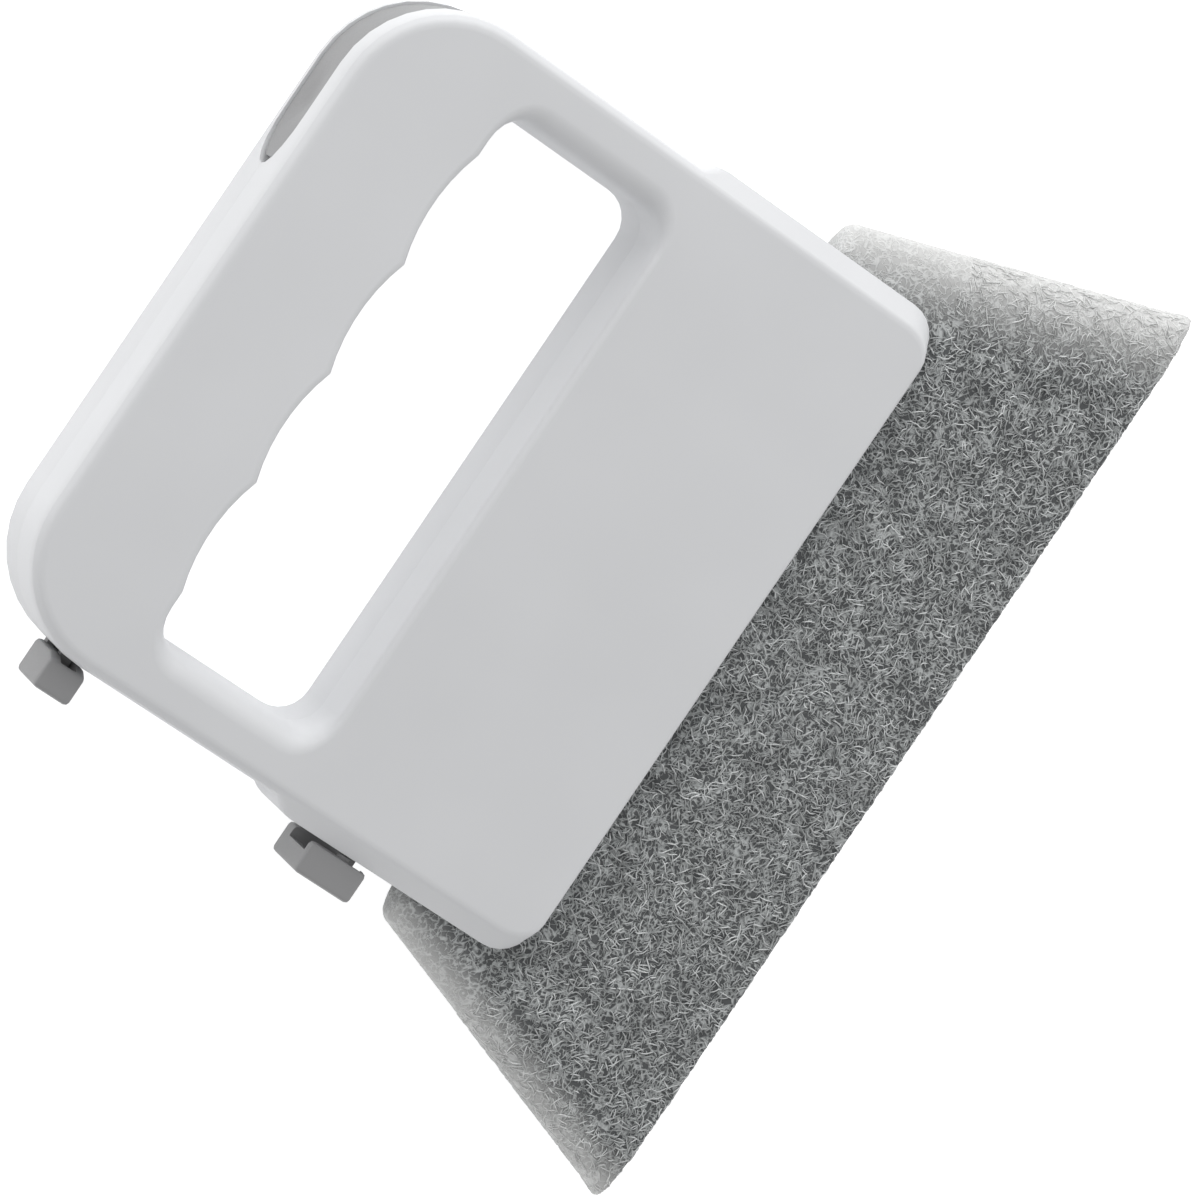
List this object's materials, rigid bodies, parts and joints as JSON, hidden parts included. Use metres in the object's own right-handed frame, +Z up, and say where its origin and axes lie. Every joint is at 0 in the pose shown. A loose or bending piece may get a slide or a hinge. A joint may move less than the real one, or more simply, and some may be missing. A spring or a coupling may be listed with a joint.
{
  "type": "window track brush",
  "caption": "Hand brush for sliding window tracks: a two-part clamp handle with a finger-scalloped hand hole hinges open at one side to grip a trapezoid scouring pad.",
  "frame": {"origin": "centre of the bounding box's underside, level with the rear shell's outer face, on which the brush lies", "axes": "+X along the pad's working edge, +Y from that edge towards the grip, +Z up through the thickness, out of the front shell's face"},
  "size_m": [0.156, 0.1302, 0.021],
  "materials": {
    "front_shell_plastic": "satin white ABS",
    "back_shell_plastic": "satin white ABS",
    "frame_plastic": "moulded grey ABS",
    "block_plastic": "fine-grained dark grey ABS",
    "leaf_plastic": "fine-grained dark grey ABS",
    "lever_plastic": "satin mid grey ABS",
    "zinc_steel": "zinc plated",
    "spring_steel": "drawn spring wire",
    "pad_fibre": "non-woven grey scouring fibre"
  },
  "bodies": {
    "rear_half": {"rear_shell": "back_shell_plastic", "inner_frame": "frame_plastic", "upper_hinge_block": "block_plastic", "lower_hinge_block": "block_plastic", "upper_hinge_pin": "zinc_steel", "lower_hinge_pin": "zinc_steel", "scouring_pad": "pad_fibre", "lever_pin": "zinc_steel", "lever_spring": "spring_steel", "frame_screw_1": "zinc_steel", "frame_screw_2": "zinc_steel", "frame_screw_3": "zinc_steel", "frame_screw_4": "zinc_steel", "hinge_block_screw_1": "zinc_steel", "hinge_block_screw_2": "zinc_steel"},
    "front_half": {"front_shell": "front_shell_plastic", "upper_hinge_leaf": "leaf_plastic", "lower_hinge_leaf": "leaf_plastic", "hinge_leaf_screw_1": "zinc_steel", "hinge_leaf_screw_2": "zinc_steel"},
    "lever": {"release_lever": "lever_plastic"}
  },
  "joints": [
    {"name": "front_half_hinge", "type": "hinge", "parent": "rear_half", "child": "front_half", "pos_m": [-0.0581, 0, 0.0158], "axis": [0, -1, 0], "range_deg": [0, 60]},
    {"name": "lever_pivot", "type": "hinge", "parent": "rear_half", "child": "lever", "pos_m": [0.04497, 0.05443, 0.0105], "axis": [0, 0, 1], "range_deg": [0, 3.4], "stiffness_Nm_per_rad": 0.07, "springref_deg": -7.45, "deforming": ["lever_spring"]}
  ]
}
